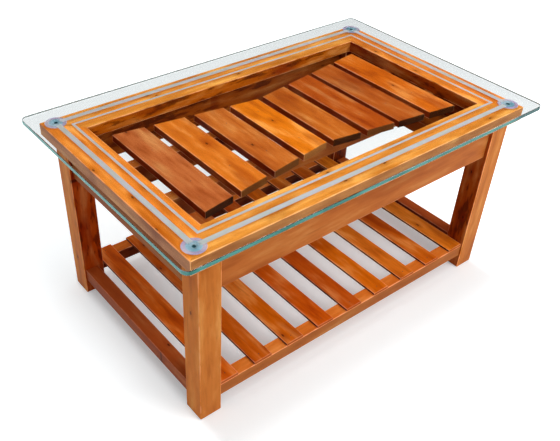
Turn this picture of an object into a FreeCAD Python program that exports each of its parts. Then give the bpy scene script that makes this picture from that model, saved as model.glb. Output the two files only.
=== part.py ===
import FreeCAD, Part
import math
import os
from collections import namedtuple

# A wooden coffee table with a sunken slatted panel under a glass top and a slatted shelf.
# Sizes are in millimetres. X runs along the long side, Y from front to back, Z is up.
# The origin is on the floor, under the middle of the table.

# Wooden top: four mitred boards
top_length = 915.0
top_width = 557.0
top_board_width = 73.0
top_board_thickness = 28.0

# Legs
leg_thickness = 52.0
leg_height = 415.0
leg_inset_from_end = 23.0
leg_inset_from_side = 12.0

# Aprons under the top
apron_height = 83.0
apron_thickness = 22.0
apron_setback = 9.0
apron_tenon_thickness = 10.0
apron_tenon_lower_shoulder = 8.0

# Shelf rails
shelf_rail_height = 32.0
shelf_rail_thickness = 32.0
shelf_rail_setback = 4.5
shelf_floor_gap = 38.0
shelf_tenon_thickness = 12.0
shelf_tenon_shoulder = 6.0

# Shelf slats
shelf_slat_count = 9
shelf_slat_width = 46.0
shelf_slat_thickness = 6.0
shelf_slat_leg_clearance = 1.0

# Sunken panel: slats that get longer from the middle to the ends, like a bow tie.
# The gaps are between the slats and the inner edges of the top.
# Each slat has a shift of its own to the right of even spacing, because they were spaced by eye.
panel_slat_shifts = (3.0, 7.0, 12.0, 11.0, 10.0, 9.5, 4.5, 2.0)
panel_slat_width = 72.0
panel_slat_thickness = 16.0
panel_end_gap = 33.5
panel_corner_gap = 37.0
panel_waist_gap = 89.5

# What carries the panel: a cross board at each end, and two bearers along the table
end_rest_width = 75.5
end_rest_thickness = 33.0
end_rest_leg_clearance = 0.5
bearer_thickness = 28.0
bearer_end_clearance = 0.5
shortest_slat_overhang = 47.0

# Glass and its clear pads
glass_overhang = 29.5
glass_thickness = 10.0
glass_corner_radius = 15.0
pad_height = 5.0
pad_disc_radius = 23.0
pad_disc_thickness = 1.6
pad_hub_radius = 9.5
pad_stem_radius = 3.0
pad_stem_length = 7.0
pad_inset = 25.6

# Tongues in the mitres of the top
mitre_tongue_length = 70.0
mitre_tongue_width = 16.0
mitre_tongue_thickness = 4.0

# Loose tenons: two from each leg up into the top, three from each end rest into its apron
loose_tenon_thickness = 8.0
loose_tenon_width = 16.0
leg_loose_tenon_offset = 15.0
leg_loose_tenon_depth_in_leg = 22.0
rest_loose_tenon_depth_in_apron = 12.0
rest_loose_tenon_depth_in_rest = 18.0
rest_loose_tenon_end_distance = 74.0

# Brads of flat wire in the slats, and screws up through the end rests
brad_width = 2.4
brad_thickness = 1.6
panel_brad_length = 32.0
shelf_brad_length = 20.0
screw_shank_radius = 2.0
screw_head_radius = 4.0
screw_head_height = 2.5
screw_length = 56.0

# Clearances inside the joints
tenon_cheek_clearance = 0.1
tenon_end_clearance = 1.0
tenon_gap = 3.0
loose_tenon_gap = 4.0
loose_tenon_to_tongue_gap = 1.0
tongue_clearance = 0.1
brad_clearance = 0.05
screw_clearance = 0.1
screw_end_clearance = 1.0
stem_side_clearance = 0.2
stem_end_clearance = 1.0

# Small bevels on the edges
leg_bevel = 1.5
board_bevel = 1.2
rail_bevel = 1.0
panel_slat_bevel = 1.0
shelf_slat_bevel = 0.8
glass_bevel = 1.0

# How far a cutter starts outside the wood that it cuts
cutter_start = 1.0

# Faces of the legs, measured from the middle of the table
leg_outer_x = top_length / 2 - leg_inset_from_end
leg_outer_y = top_width / 2 - leg_inset_from_side
leg_inner_x = leg_outer_x - leg_thickness
leg_inner_y = leg_outer_y - leg_thickness

# Heights from the floor
apron_bottom = leg_height - apron_height
top_surface = leg_height + top_board_thickness
glass_bottom = top_surface + pad_height
end_rest_top = apron_bottom + end_rest_thickness
shelf_rail_top = shelf_floor_gap + shelf_rail_height
shelf_slat_top = shelf_rail_top + shelf_slat_thickness
panel_slat_top = leg_height + panel_slat_thickness

tongue_slot_bottom = leg_height + (top_board_thickness - mitre_tongue_thickness) / 2 - tongue_clearance
leg_loose_tenon_top = tongue_slot_bottom - loose_tenon_to_tongue_gap - tenon_end_clearance

# Inner faces and middles that other pieces line up with
opening_half_length = top_length / 2 - top_board_width
opening_half_width = top_width / 2 - top_board_width
bearer_offset = opening_half_width - panel_waist_gap - shortest_slat_overhang
side_apron_inner_x = leg_outer_x - apron_setback - apron_thickness
end_rest_inner_x = side_apron_inner_x - end_rest_width
end_rest_middle_x = side_apron_inner_x - end_rest_width / 2
shelf_rail_outer_y = leg_outer_y - shelf_rail_setback
shelf_rail_middle_y = shelf_rail_outer_y - shelf_rail_thickness / 2

# A tenon stops short of the one that comes into the same leg from the side
Tenon = namedtuple("Tenon", "thickness length bottom top")

apron_tenon_reach = apron_setback + (apron_thickness + apron_tenon_thickness) / 2
shelf_tenon_reach = shelf_rail_setback + (shelf_rail_thickness + shelf_tenon_thickness) / 2

apron_tenon = Tenon(
    thickness=apron_tenon_thickness,
    length=leg_thickness - apron_tenon_reach - tenon_gap,
    bottom=apron_bottom + apron_tenon_lower_shoulder,
    top=leg_height - leg_loose_tenon_depth_in_leg - tenon_end_clearance - loose_tenon_gap,
)

shelf_tenon = Tenon(
    thickness=shelf_tenon_thickness,
    length=leg_thickness - shelf_tenon_reach - tenon_gap,
    bottom=shelf_floor_gap + shelf_tenon_shoulder,
    top=shelf_rail_top - shelf_tenon_shoulder,
)

origin = FreeCAD.Vector(0, 0, 0)
x_axis = FreeCAD.Vector(1, 0, 0)
y_axis = FreeCAD.Vector(0, 1, 0)
z_axis = FreeCAD.Vector(0, 0, 1)


def box_between(x_limits, y_limits, z_limits):
    """Box from its lower and upper limits along each axis."""
    low, high = (FreeCAD.Vector(*corner) for corner in zip(x_limits, y_limits, z_limits))
    size = high - low
    return Part.makeBox(size.x, size.y, size.z, low)


def prism(plan_points, bottom, thickness):
    """Straight-sided board with the given outline seen from above."""
    corners = [FreeCAD.Vector(x, y, bottom) for x, y in plan_points]
    outline = Part.makePolygon(corners + corners[:1])
    return Part.Face(outline).extrude(z_axis * thickness)


def turned(profile_points, x, y):
    """Round piece from half of its section, as radius and height, about an upright axis at x, y."""
    corners = [FreeCAD.Vector(radius, 0, height) for radius, height in profile_points]
    outline = Part.makePolygon(corners + corners[:1])
    solid = Part.Face(outline).revolve(origin, z_axis, 360)
    solid.translate(FreeCAD.Vector(x, y, 0))
    return solid


def upright_rod(radius, x, y, bottom, top):
    """Round rod standing at x, y."""
    return Part.makeCylinder(radius, top - bottom, FreeCAD.Vector(x, y, bottom))


def bevelled(solid, size, is_bevelled):
    """Solid with a small bevel on each edge whose box passes the test."""
    edges = [edge for edge in solid.Edges if is_bevelled(edge.BoundBox)]
    return solid.makeChamfer(size, edges)


def across_x(shape):
    """Mirror image on the other side, left for right."""
    return shape.mirror(origin, x_axis)


def across_y(shape):
    """Mirror image on the other side, back for front."""
    return shape.mirror(origin, y_axis)


def four_corners(front_right):
    """A corner piece and its mirror images, by corner."""
    back_right = across_y(front_right)
    return {
        "front_left": across_x(front_right),
        "front_right": front_right,
        "back_left": across_x(back_right),
        "back_right": back_right,
    }


def turned_to_right(front_shape):
    """Front piece, swung round to the right-hand end."""
    shape = front_shape.copy()
    shape.rotate(origin, z_axis, 90)
    return shape


def tenons(half_span, outer_face, rail_thickness, tenon, cheek_growth=0.0, end_growth=0.0):
    """Tenons at both ends of a front rail, or with growth, the cutters of their mortises."""
    middle = -(outer_face - rail_thickness / 2)
    cheek = tenon.thickness / 2 + cheek_growth
    y_limits = (middle - cheek, middle + cheek)
    z_limits = (tenon.bottom - cheek_growth, tenon.top + cheek_growth)
    start = half_span - cutter_start
    end = half_span + tenon.length + end_growth
    right = box_between((start, end), y_limits, z_limits)
    return [right, across_x(right)]


def mortise_cutters(seat):
    """What the tenons of a front rail need cut out of the legs."""
    return tenons(*seat, tenon_cheek_clearance, tenon_end_clearance)


def tenoned_rail(seat, bottom, top):
    """Front rail between two legs, its long edges bevelled, with a tenon at each end."""
    half_span, outer_face, rail_thickness, _ = seat
    y_limits = (-outer_face, rail_thickness - outer_face)
    rail = box_between((-half_span, half_span), y_limits, (bottom, top))
    rail = bevelled(rail, rail_bevel, lambda box: box.XLength > half_span)
    return rail.fuse(tenons(*seat))


# The four places where a rail goes: half its span, its outer face, its thickness and its tenon
long_apron_seat = (leg_inner_x, leg_outer_y - apron_setback, apron_thickness, apron_tenon)
short_apron_seat = (leg_inner_y, leg_outer_x - apron_setback, apron_thickness, apron_tenon)
long_shelf_seat = (leg_inner_x, shelf_rail_outer_y, shelf_rail_thickness, shelf_tenon)
short_shelf_seat = (leg_inner_y, leg_outer_x - shelf_rail_setback, shelf_rail_thickness, shelf_tenon)


def leg_loose_tenons(cheek_growth=0.0, end_growth=0.0):
    """Loose tenons between the front right leg and the two boards that meet above it.

    One stands on each side of the mitre, along its board. With growth, they are their mortises.
    """
    mitre_x_minus_y = (top_length - top_width) / 2
    middle_x = leg_outer_x - leg_thickness / 2
    middle_y = leg_outer_y - leg_thickness / 2
    off_mitre = (middle_x - middle_y - mitre_x_minus_y) / 2
    step = leg_loose_tenon_offset / math.sqrt(2)
    half_width = loose_tenon_width / 2 + cheek_growth
    half_thickness = loose_tenon_thickness / 2 + cheek_growth
    z_limits = (
        leg_height - leg_loose_tenon_depth_in_leg - end_growth,
        leg_loose_tenon_top + end_growth,
    )
    solids = []
    for side, half_x, half_y in ((-1, half_width, half_thickness), (1, half_thickness, half_width)):
        x = middle_x - off_mitre + side * step
        y = -(middle_y + off_mitre - side * step)
        solids.append(box_between((x - half_x, x + half_x), (y - half_y, y + half_y), z_limits))
    return solids


def leg_loose_tenon_mortises():
    return leg_loose_tenons(tenon_cheek_clearance, tenon_end_clearance)


def rest_loose_tenons(cheek_growth=0.0, end_growth=0.0):
    """Loose tenons between the right end rest and its apron, or with growth, their mortises."""
    x_limits = (
        side_apron_inner_x - rest_loose_tenon_depth_in_rest - end_growth,
        side_apron_inner_x + rest_loose_tenon_depth_in_apron + end_growth,
    )
    height = apron_bottom + end_rest_thickness / 2
    half_width = loose_tenon_width / 2 + cheek_growth
    half_thickness = loose_tenon_thickness / 2 + cheek_growth
    z_limits = (height - half_thickness, height + half_thickness)
    outermost = leg_inner_y - end_rest_leg_clearance - rest_loose_tenon_end_distance
    return [
        box_between(x_limits, (y - half_width, y + half_width), z_limits)
        for y in (-outermost, 0, outermost)
    ]


def rest_loose_tenon_mortises():
    return rest_loose_tenons(tenon_cheek_clearance, tenon_end_clearance)


def mitre_tongue(growth=0.0):
    """Thin tongue across the front right mitre, or with growth, the slot that it sits in."""
    half_length = mitre_tongue_length / 2 + growth
    half_width = mitre_tongue_width / 2 + growth
    half_thickness = mitre_tongue_thickness / 2 + growth
    tongue = box_between(
        (-half_length, half_length), (-half_width, half_width), (-half_thickness, half_thickness)
    )
    tongue.rotate(origin, z_axis, -45)
    middle_x = (top_length - top_board_width) / 2
    middle_y = (top_width - top_board_width) / 2
    tongue.translate(FreeCAD.Vector(middle_x, -middle_y, leg_height + top_board_thickness / 2))
    return tongue


def glass_pad():
    """Clear pad in the front right corner: a thin disc against the glass, a hub and a stem."""
    profile = [
        (0, top_surface - pad_stem_length),
        (pad_stem_radius, top_surface - pad_stem_length),
        (pad_stem_radius, top_surface),
        (pad_hub_radius, top_surface),
        (pad_hub_radius, glass_bottom - pad_disc_thickness),
        (pad_disc_radius, glass_bottom - pad_disc_thickness),
        (pad_disc_radius, glass_bottom),
        (0, glass_bottom),
    ]
    return turned(profile, top_length / 2 - pad_inset, pad_inset - top_width / 2)


def pad_stem_hole():
    """Hole in the top, across the mitre, for the stem of the front right pad."""
    x = top_length / 2 - pad_inset
    y = pad_inset - top_width / 2
    bottom = top_surface - pad_stem_length - stem_end_clearance
    return upright_rod(pad_stem_radius + stem_side_clearance, x, y, bottom, top_surface + cutter_start)


def panel_half_length(x):
    """Half of the panel's length across the table, at x along it."""
    waist = opening_half_width - panel_waist_gap
    end = opening_half_width - panel_corner_gap
    return waist + (end - waist) * abs(x) / (opening_half_length - panel_end_gap)


def evenly_spaced(outermost, count):
    """Places from one end to the other, at equal steps about the middle."""
    pitch = 2 * outermost / (count - 1)
    return [index * pitch - outermost for index in range(count)]


def panel_slat_middles():
    outermost = opening_half_length - panel_end_gap - panel_slat_width / 2
    even_middles = evenly_spaced(outermost, len(panel_slat_shifts))
    return [middle + shift for middle, shift in zip(even_middles, panel_slat_shifts)]


def shelf_slat_middles():
    """From just beside one pair of legs to just beside the other."""
    return evenly_spaced(leg_inner_x - shelf_slat_leg_clearance - shelf_slat_width / 2, shelf_slat_count)


def brads(middles, y_distance, bottom, top, growth, start):
    """Brads driven down near both ends of each slat, or with growth, their holes."""
    half_width = brad_width / 2 + growth
    half_thickness = brad_thickness / 2 + growth
    places = [(x, side * y_distance) for x in middles for side in (-1, 1)]
    return [
        box_between(
            (x - half_thickness, x + half_thickness),
            (y - half_width, y + half_width),
            (bottom - growth, top + start),
        )
        for x, y in places
    ]


def panel_brads(growth=0.0, start=0.0):
    tip = panel_slat_top - panel_brad_length
    return brads(panel_slat_middles(), bearer_offset, tip, panel_slat_top, growth, start)


def shelf_brads(growth=0.0, start=0.0):
    tip = shelf_slat_top - shelf_brad_length
    return brads(shelf_slat_middles(), shelf_rail_middle_y, tip, shelf_slat_top, growth, start)


def panel_brad_holes():
    return panel_brads(brad_clearance, cutter_start)


def shelf_brad_holes():
    return shelf_brads(brad_clearance, cutter_start)


def bearer_screw(growth=0.0, end_growth=0.0):
    """Countersunk screw up through the right end rest into the front bearer, or its hole."""
    shank = screw_shank_radius + growth
    head = screw_head_radius + growth
    tip = apron_bottom + screw_length + end_growth
    profile = [
        (0, apron_bottom),
        (head, apron_bottom),
        (shank, apron_bottom + screw_head_height),
        (shank, tip),
        (0, tip),
    ]
    return turned(profile, end_rest_middle_x, -bearer_offset)


def bearer_screw_hole():
    return bearer_screw(screw_clearance, screw_end_clearance)


def legs():
    """Square legs with mortises for two aprons, two shelf rails and two loose tenons."""
    leg = box_between(
        (leg_inner_x, leg_outer_x), (-leg_outer_y, -leg_inner_y), (0, leg_height)
    )
    leg = bevelled(leg, leg_bevel, lambda box: box.ZMin < leg_bevel)
    for seat in (long_apron_seat, long_shelf_seat):
        leg = leg.cut(mortise_cutters(seat))
    for seat in (short_apron_seat, short_shelf_seat):
        leg = leg.cut([turned_to_right(cutter) for cutter in mortise_cutters(seat)])
    leg = leg.cut(leg_loose_tenon_mortises())
    return {f"leg_{corner}": shape for corner, shape in four_corners(leg).items()}


def top_board(length, outer_face):
    """Front board of a mitred frame, its long edges bevelled."""
    half_outer = length / 2
    half_inner = half_outer - top_board_width
    inner_face = outer_face - top_board_width
    plan = [
        (-half_outer, -outer_face),
        (half_outer, -outer_face),
        (half_inner, -inner_face),
        (-half_inner, -inner_face),
    ]
    board = prism(plan, leg_height, top_board_thickness)
    return bevelled(board, board_bevel, lambda box: box.XLength > half_inner)


def top_rails():
    """Mitred boards of the top, cut for the tongues, the loose tenons and the pad stems."""
    corner_cutters = [mitre_tongue(tongue_clearance), pad_stem_hole()] + leg_loose_tenon_mortises()
    cutters = [copy for cutter in corner_cutters for copy in four_corners(cutter).values()]
    front = top_board(top_length, top_width / 2).cut(cutters)
    right = turned_to_right(top_board(top_width, top_length / 2)).cut(cutters)
    return {
        "top_rail_front": front,
        "top_rail_back": across_y(front),
        "top_rail_left": across_x(right),
        "top_rail_right": right,
    }


def aprons():
    """Upright boards between the legs. The short ones have mortises for the end rests."""
    front = tenoned_rail(long_apron_seat, apron_bottom, leg_height)
    right = turned_to_right(tenoned_rail(short_apron_seat, apron_bottom, leg_height))
    right = right.cut(rest_loose_tenon_mortises())
    return {
        "apron_front": front,
        "apron_back": across_y(front),
        "apron_left": across_x(right),
        "apron_right": right,
    }


def shelf_rails():
    """Square rails near the floor. The long ones carry the shelf slats and take their brads."""
    front = tenoned_rail(long_shelf_seat, shelf_floor_gap, shelf_rail_top)
    front = front.cut(shelf_brad_holes())
    right = turned_to_right(tenoned_rail(short_shelf_seat, shelf_floor_gap, shelf_rail_top))
    return {
        "shelf_rail_front": front,
        "shelf_rail_back": across_y(front),
        "shelf_rail_left": across_x(right),
        "shelf_rail_right": right,
    }


def end_rests():
    """Flat cross boards inside the short aprons, which the bearers lie on."""
    half_length = leg_inner_y - end_rest_leg_clearance
    rest = box_between(
        (end_rest_inner_x, side_apron_inner_x), (-half_length, half_length), (apron_bottom, end_rest_top)
    )
    rest = bevelled(rest, rail_bevel, lambda box: box.XMax < end_rest_middle_x)
    screw_hole = bearer_screw_hole()
    rest = rest.cut(rest_loose_tenon_mortises() + [screw_hole, across_y(screw_hole)])
    return {"end_rest_left": across_x(rest), "end_rest_right": rest}


def slat_bearers():
    """Two rails on edge along the table, from one end rest to the other, level with the aprons' tops."""
    half_length = side_apron_inner_x - bearer_end_clearance
    y_limits = (-bearer_offset - bearer_thickness / 2, bearer_thickness / 2 - bearer_offset)
    bearer = box_between((-half_length, half_length), y_limits, (end_rest_top, leg_height))
    bearer = bevelled(bearer, rail_bevel, lambda box: box.XLength > half_length)
    screw_hole = bearer_screw_hole()
    bearer = bearer.cut(panel_brad_holes() + [screw_hole, across_x(screw_hole)])
    return {"slat_bearer_front": bearer, "slat_bearer_back": across_y(bearer)}


def panel_slats():
    """Slats of the sunken panel, each end cut obliquely so that the row makes a bow tie."""
    brad_holes = panel_brad_holes()
    slats = {}
    for number, middle in enumerate(panel_slat_middles(), 1):
        left = middle - panel_slat_width / 2
        right = middle + panel_slat_width / 2
        plan = [
            (left, -panel_half_length(left)),
            (right, -panel_half_length(right)),
            (right, panel_half_length(right)),
            (left, panel_half_length(left)),
        ]
        slat = prism(plan, leg_height, panel_slat_thickness)
        slat = bevelled(slat, panel_slat_bevel, lambda box: box.ZMin > panel_slat_top - panel_slat_bevel)
        slats[f"top_slat_{number}"] = slat.cut(brad_holes)
    return slats


def shelf_slats():
    """Thin slats laid across the long shelf rails, flush with their outer faces."""
    brad_holes = shelf_brad_holes()
    slats = {}
    for number, middle in enumerate(shelf_slat_middles(), 1):
        slat = box_between(
            (middle - shelf_slat_width / 2, middle + shelf_slat_width / 2),
            (-shelf_rail_outer_y, shelf_rail_outer_y),
            (shelf_rail_top, shelf_slat_top),
        )
        slat = bevelled(slat, shelf_slat_bevel, lambda box: box.ZMin > shelf_slat_top - shelf_slat_bevel)
        slats[f"shelf_slat_{number}"] = slat.cut(brad_holes)
    return slats


def glass_top():
    """Loose sheet of glass with rounded corners and a ground bevel round its edge."""
    half_length = top_length / 2 + glass_overhang
    half_width = top_width / 2 + glass_overhang
    z_limits = (glass_bottom, glass_bottom + glass_thickness)
    sheet = box_between((-half_length, half_length), (-half_width, half_width), z_limits)
    corners = [edge for edge in sheet.Edges if edge.BoundBox.ZLength > glass_thickness / 2]
    sheet = sheet.makeFillet(glass_corner_radius, corners)
    return bevelled(sheet, glass_bevel, lambda box: box.ZLength < glass_thickness / 2)


def glass_pads():
    return {f"glass_pad_{corner}": shape for corner, shape in four_corners(glass_pad()).items()}


def joinery():
    """Tongues, loose tenons, brads and screws, each kind together as separate solids."""
    leg_set = [copy for tenon in leg_loose_tenons() for copy in four_corners(tenon).values()]
    rest_set = rest_loose_tenons() + [across_x(tenon) for tenon in rest_loose_tenons()]
    groups = {
        "mitre_tongues": list(four_corners(mitre_tongue()).values()),
        "leg_loose_tenons": leg_set,
        "rest_loose_tenons": rest_set,
        "top_slat_brads": panel_brads(),
        "shelf_slat_brads": shelf_brads(),
        "bearer_screws": list(four_corners(bearer_screw()).values()),
    }
    return {name: Part.makeCompound(solids) for name, solids in groups.items()}


def table():
    """Every piece of the table by name."""
    frame_groups = (legs, top_rails, aprons, shelf_rails, end_rests, slat_bearers)
    pieces = {"glass_top": glass_top()}
    for group in frame_groups + (panel_slats, shelf_slats, glass_pads, joinery):
        pieces.update(group())
    return pieces


os.makedirs("parts", exist_ok=True)
for name, shape in table().items():
    shape.exportStep(f"parts/{name}.step")
    volume = round(shape.Volume / 1000, 1)
    print(name, "has", len(shape.Solids), "solids,", volume, "cubic centimetres, valid:", shape.isValid())
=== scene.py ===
# %% [markdown]
# # A wooden coffee table with a glass top
# The table has square legs, a mitred frame round a sunken panel of slats, a slatted shelf and a
# sheet of glass on four clear pads. Its wood, brads and screws come ready made, at their real
# sizes, so this lesson is mostly about finishes: varnished timber with its own grain on every
# board, and a light that keeps its colours true. The glass and the pads are modelled as well,
# since their eased rims, etched lines and thin rings are too fine for the ready-made solids.

# %% Load the ready-made pieces
import math
import random

import bpy
from mathutils import Matrix, Vector


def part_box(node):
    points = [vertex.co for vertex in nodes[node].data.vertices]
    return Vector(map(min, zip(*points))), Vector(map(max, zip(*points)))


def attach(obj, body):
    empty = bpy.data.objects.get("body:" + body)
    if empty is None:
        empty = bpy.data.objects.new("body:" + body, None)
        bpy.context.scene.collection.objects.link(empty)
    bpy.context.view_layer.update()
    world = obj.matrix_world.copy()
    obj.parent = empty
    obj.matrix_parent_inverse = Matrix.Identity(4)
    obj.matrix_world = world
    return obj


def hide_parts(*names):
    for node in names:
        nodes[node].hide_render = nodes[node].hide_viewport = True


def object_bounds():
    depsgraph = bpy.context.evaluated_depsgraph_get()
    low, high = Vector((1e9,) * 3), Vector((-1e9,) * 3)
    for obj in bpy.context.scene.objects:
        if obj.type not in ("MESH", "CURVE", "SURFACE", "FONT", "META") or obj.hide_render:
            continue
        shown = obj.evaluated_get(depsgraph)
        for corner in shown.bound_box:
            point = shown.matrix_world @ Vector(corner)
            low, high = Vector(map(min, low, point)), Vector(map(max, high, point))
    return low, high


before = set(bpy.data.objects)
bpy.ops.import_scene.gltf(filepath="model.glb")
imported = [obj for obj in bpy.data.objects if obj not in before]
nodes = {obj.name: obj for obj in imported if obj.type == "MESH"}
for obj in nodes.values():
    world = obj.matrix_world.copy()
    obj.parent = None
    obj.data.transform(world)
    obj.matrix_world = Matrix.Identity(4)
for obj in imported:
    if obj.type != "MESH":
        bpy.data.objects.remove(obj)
ready_made_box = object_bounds()
bpy.ops.object.select_all(action="DESELECT")
print(len(nodes), "pieces, from", ready_made_box[0], "to", ready_made_box[1])

# %% [markdown]
# ## The view
# A picture of a table is easiest to compare with a photograph when the camera stands where the
# photographer stood. The place and the lens below are for a picture of 560 by 441 pixels. The
# photograph was cropped off centre, which the camera's shift repeats without any turning.

# %% Place the camera
picture_width = 560
focal_length_px = 727.7
sensor_width_mm = 36.0
camera_place = Vector((-0.9634, -1.0431, 1.2260))
camera_azimuth = math.radians(-39.60)
camera_elevation = math.radians(39.27)
camera_roll = math.radians(2.18)
centre_left_px = 30.1
centre_up_px = 28.4


def add_camera():
    data = bpy.data.cameras.new("photograph_camera")
    data.sensor_width = sensor_width_mm
    data.lens = focal_length_px * sensor_width_mm / picture_width
    data.shift_x = centre_left_px / picture_width
    data.shift_y = centre_up_px / picture_width
    camera = bpy.data.objects.new("photograph_camera", data)
    bpy.context.scene.collection.objects.link(camera)
    turn = Matrix.Rotation(camera_azimuth, 4, "Z")
    tilt = Matrix.Rotation(math.radians(90) - camera_elevation, 4, "X")
    roll = Matrix.Rotation(camera_roll, 4, "Z")
    camera.matrix_world = Matrix.Translation(camera_place) @ turn @ tilt @ roll
    bpy.context.scene.camera = camera
    return camera


camera = add_camera()
bpy.context.scene.view_settings.view_transform = "Standard"
print("lens", round(camera.data.lens, 2), "mm")

# %% [markdown]
# ## Short ways to build a node tree
# A finish is a tree of nodes. Added by hand, each node takes a line for its kind, one for each
# setting and one for each link. Small helpers keep the trees below short: one types a value in
# or links a socket, one adds a node, and the others add the kinds that come up most often.

# %% Helpers for nodes
def connect(tree, value, socket):
    """Link the value if it is a socket, and type it in if it isn't."""
    if isinstance(value, bpy.types.NodeSocket):
        tree.links.new(value, socket)
    else:
        socket.default_value = value


def add_node(tree, kind, inputs=None, **settings):
    """New node, its settings made first because some of them change its sockets."""
    node = tree.nodes.new(kind)
    for name, value in settings.items():
        setattr(node, name, value)
    for name, value in (inputs or {}).items():
        connect(tree, value, node.inputs[name])
    return node


def calculate(tree, operation, *values):
    """Result of one Math node, unclamped."""
    inputs = dict(enumerate(values))
    return add_node(tree, "ShaderNodeMath", inputs, operation=operation).outputs[0]


def calculate_vector(tree, operation, *values):
    """Result of one Vector Math node, which is a number where it measures something."""
    inputs = dict(enumerate(values))
    result = "Value" if operation in ("LENGTH", "DISTANCE", "DOT_PRODUCT") else "Vector"
    return add_node(tree, "ShaderNodeVectorMath", inputs, operation=operation).outputs[result]


def blend_numbers(tree, factor, first, second):
    """The first number at a factor of 0, and the second at 1.

    A Mix node has sockets of the same names for numbers, vectors and colours, so they are
    reached by their places: 2 and 3 are for numbers, and 6 and 7 for colours.
    """
    return add_node(tree, "ShaderNodeMix", {0: factor, 2: first, 3: second}).outputs[0]


def blend_colours(tree, factor, first, second):
    """The same for two colours."""
    inputs = {0: factor, 6: first, 7: second}
    return add_node(tree, "ShaderNodeMix", inputs, data_type="RGBA").outputs[2]


def ramp(tree, value, start, end):
    """Soft rise from 0 at the start to 1 at the end, for a start that may be above the end."""
    inputs = {"Value": value, "From Min": start, "From Max": end}
    node = add_node(tree, "ShaderNodeMapRange", inputs, interpolation_type="SMOOTHSTEP")
    return node.outputs["Result"]


# %% [markdown]
# An effect that several materials share is a group: a tree of its own, with named sockets, that
# is placed in each of them like a single node. Two more helpers start a group and place it, one
# starts a material, and one turns a colour as a screen shows it into the values of a shader.

# %% Helpers for groups, materials and colours
def start_group(name, inputs, outputs):
    """Empty node group, from the name and the kind of each of its sockets."""
    group = bpy.data.node_groups.new(name, "ShaderNodeTree")
    for side, sockets in (("INPUT", inputs), ("OUTPUT", outputs)):
        for socket_name, kind in sockets.items():
            group.interface.new_socket(socket_name, in_out=side, socket_type="NodeSocket" + kind)
    given = group.nodes.new("NodeGroupInput").outputs
    result = group.nodes.new("NodeGroupOutput").inputs
    return group, given, result


def use_group(tree, group, inputs):
    """Place a group in a tree, with its inputs filled in, and give its outputs."""
    node = tree.nodes.new("ShaderNodeGroup")
    node.node_tree = group
    for name, value in inputs.items():
        connect(tree, value, node.inputs[name])
    return node.outputs


def start_material(name):
    """New material: its tree, the shader that it comes with, and its output."""
    material = bpy.data.materials.new(name)
    material.use_nodes = True
    tree = material.node_tree
    return material, tree, tree.nodes["Principled BSDF"], tree.nodes["Material Output"]


def hex_colour(code):
    """Colour as a screen shows it, such as c8713e, in the values that a shader takes."""
    channels = [int(code[place:place + 2], 16) / 255 for place in (0, 2, 4)]
    return [c / 12.92 if c <= 0.04045 else ((c + 0.055) / 1.055) ** 2.4 for c in channels] + [1.0]


print("c8713e is", [round(value, 3) for value in hex_colour("c8713e")])

# %% [markdown]
# ## The floor
# The table stands on a white floor that runs out of the picture. Light strong enough to make
# that floor look white would wash out the timber, so the lamps stay at a plain level and the
# floor adds a glow of its own. Only a look straight at the floor, through the glass or in a
# gloss sees the glow. The floor's own shading stays underneath, which keeps the table's soft
# shadow. The glow is weakest under the table and grows away from it, so that it also paints a
# shadow round the table. This painted shadow lies a little toward the front, where the
# photograph has it, and fades more slowly in front and behind than at the two ends. Seen
# through the glass, the glow has one strength everywhere.

# %% Build the floor
floor_half_width = 12.0
floor_white = (0.785, 0.80, 0.805, 1.0)
floor_glow = (0.93, 0.98, 1.0, 1.0)
middle_of_shade = (0.0, -0.06, 0.0)
half_of_shade = (0.42, 0.265, 0.0)
slower_in_depth = (1.0, 0.28, 1.0)
edge_of_shade = 0.03
end_of_shade = 0.30
lift_under_table = 0.30
lift_at_legs = 0.55
lift_far = 0.95
lift_through_glass = 0.54


def kinds_of_look(tree):
    """Masks for two kinds of ray: a straight look, also through glass, and a look in a gloss."""
    path = add_node(tree, "ShaderNodeLightPath").outputs
    not_scattered = calculate(tree, "LESS_THAN", path["Diffuse Depth"], 0.5)
    not_mirrored = calculate(tree, "LESS_THAN", path["Glossy Depth"], 0.5)
    sent_on = calculate(tree, "MAXIMUM", path["Is Camera Ray"], path["Is Transmission Ray"])
    seen = calculate(tree, "MULTIPLY", sent_on, not_scattered)
    straight = calculate(tree, "MULTIPLY", seen, not_mirrored)
    any_look = calculate(tree, "MAXIMUM", sent_on, path["Is Glossy Ray"])
    either = calculate(tree, "MULTIPLY", any_look, not_scattered)
    return straight, calculate(tree, "SUBTRACT", either, straight)


def distance_outside(tree):
    """How far a point of the floor lies outside the shade, counted slower in front and behind."""
    place = add_node(tree, "ShaderNodeTexCoord").outputs["Object"]
    centred = calculate_vector(tree, "SUBTRACT", place, middle_of_shade)
    reach = calculate_vector(tree, "ABSOLUTE", centred)
    past_edge = calculate_vector(tree, "SUBTRACT", reach, half_of_shade)
    outside = calculate_vector(tree, "MAXIMUM", past_edge, (0, 0, 0))
    counted = calculate_vector(tree, "MULTIPLY", outside, slower_in_depth)
    return calculate_vector(tree, "LENGTH", counted)


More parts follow.
